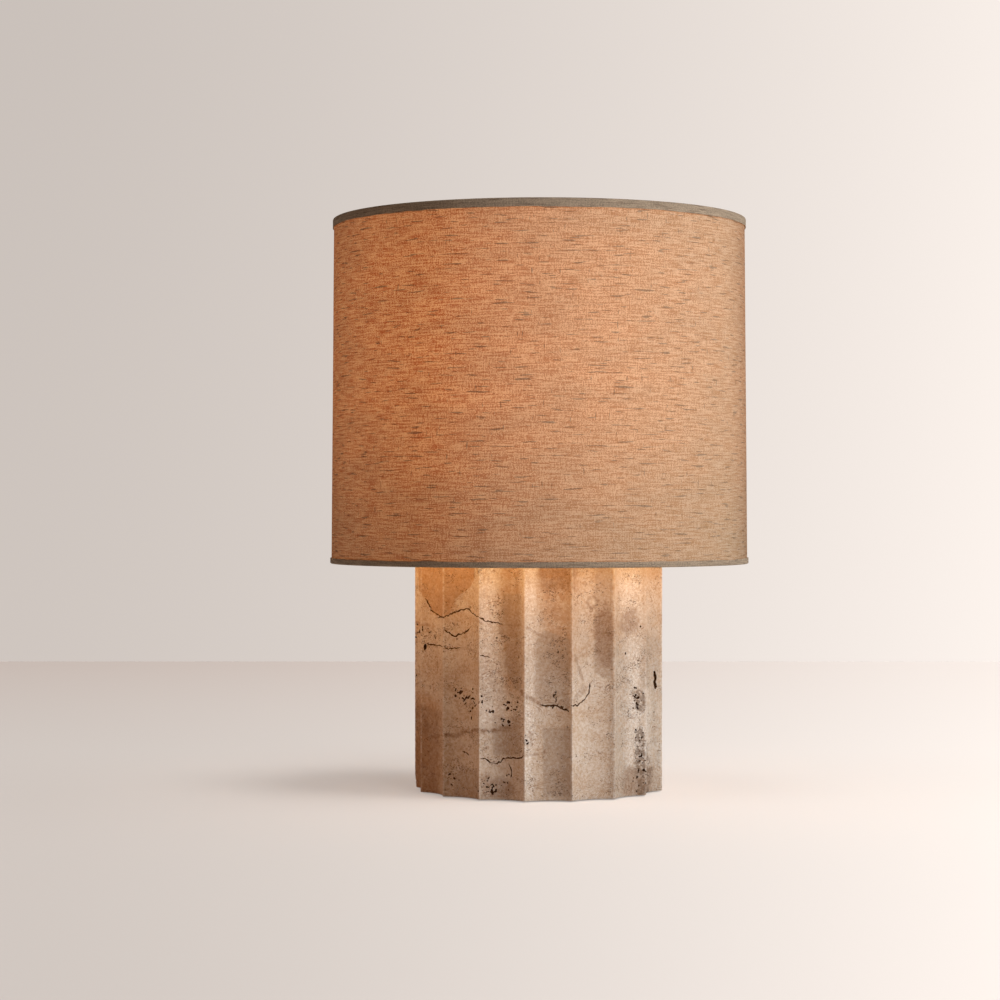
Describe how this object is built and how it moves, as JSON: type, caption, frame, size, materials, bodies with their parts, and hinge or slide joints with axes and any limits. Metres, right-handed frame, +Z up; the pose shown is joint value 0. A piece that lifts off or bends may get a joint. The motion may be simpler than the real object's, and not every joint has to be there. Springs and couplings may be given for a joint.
{
  "type": "table lamp",
  "caption": "Column table lamp: hollow fluted stone column, drum shade of slubbed linen, harp, socket with turn key and bulb.",
  "frame": {"origin": "centre of the felt's underside, on the lamp's axis, at table level", "axes": "+Z up along the lamp's axis; -Y is the front, where the switch key points; +Y is the back, with the cord inlet; +X to the right"},
  "size_m": [0.305, 0.305, 0.415],
  "materials": {
    "travertine": "honed, unfilled, open pits",
    "linen": "slubbed plain weave, lit from inside",
    "trim_tape": "folded bias tape",
    "shade_lining": "translucent styrene sheet",
    "felt": "pressed felt",
    "antique_brass": "brushed and lacquered",
    "socket_brass": "plated, bright",
    "nickel_wire": "plated wire",
    "zinc_steel": "zinc plated",
    "black_phenolic": "moulded",
    "card": "pressed card tube",
    "inlet_rubber": "moulded",
    "frosted_glass": "etched inside, lit warm white",
    "stem_glass": "clear",
    "bulb_aluminium": "rolled thread",
    "tungsten": "drawn wire"
  },
  "bodies": {
    "base": {"column": "travertine", "foot_felt": "felt", "base_plate": "zinc_steel", "base_washer": "zinc_steel", "base_nut": "zinc_steel", "cord_grommet": "inlet_rubber", "lamp_pipe": "zinc_steel", "column_cap": "antique_brass", "neck": "antique_brass", "harp_saddle": "nickel_wire", "harp": "nickel_wire", "harp_post": "nickel_wire", "socket_cap": "socket_brass", "socket_set_screw": "zinc_steel", "socket_shell": "socket_brass", "socket_card": "card", "socket_core": "black_phenolic", "terminal_screws": "socket_brass", "thread_shell": "socket_brass", "centre_contact": "socket_brass"},
    "shade": {"shade_cover": "linen", "shade_liner": "shade_lining", "shade_top_trim": "trim_tape", "shade_bottom_trim": "trim_tape", "shade_top_ring": "nickel_wire", "shade_bottom_ring": "nickel_wire", "shade_washer": "nickel_wire", "shade_spider": "nickel_wire"},
    "finial": {"finial": "antique_brass"},
    "bulb": {"bulb_tip": "bulb_aluminium", "bulb_insulator": "black_phenolic", "bulb_cap": "bulb_aluminium", "bulb_globe": "frosted_glass", "bulb_stem": "stem_glass", "bulb_filament": "tungsten"},
    "switch_key": {"switch_shaft": "socket_brass", "switch_knob": "black_phenolic"},
    "sleeve_left": {"harp_sleeve_left": "nickel_wire"},
    "sleeve_right": {"harp_sleeve_right": "nickel_wire"}
  },
  "joints": [
    {"name": "shade_turn", "type": "hinge", "parent": "base", "child": "shade", "pos_m": [0, 0, 0.3992], "axis": [0, 0, 1], "continuous": true},
    {"name": "finial_turn", "type": "hinge", "parent": "base", "child": "finial", "pos_m": [0, 0, 0.405], "axis": [0, 0, 1], "continuous": true},
    {"name": "bulb_turn", "type": "hinge", "parent": "base", "child": "bulb", "pos_m": [0, 0, 0.262], "axis": [0, 0, 1], "continuous": true},
    {"name": "switch_turn", "type": "hinge", "parent": "base", "child": "switch_key", "pos_m": [0, -0.02, 0.2388], "axis": [0, -1, 0], "continuous": true},
    {"name": "sleeve_left_slide", "type": "slide", "parent": "base", "child": "sleeve_left", "axis": [0, 0, 1], "range_m": [0, 0.014]},
    {"name": "sleeve_right_slide", "type": "slide", "parent": "base", "child": "sleeve_right", "axis": [0, 0, 1], "range_m": [0, 0.014]}
  ]
}
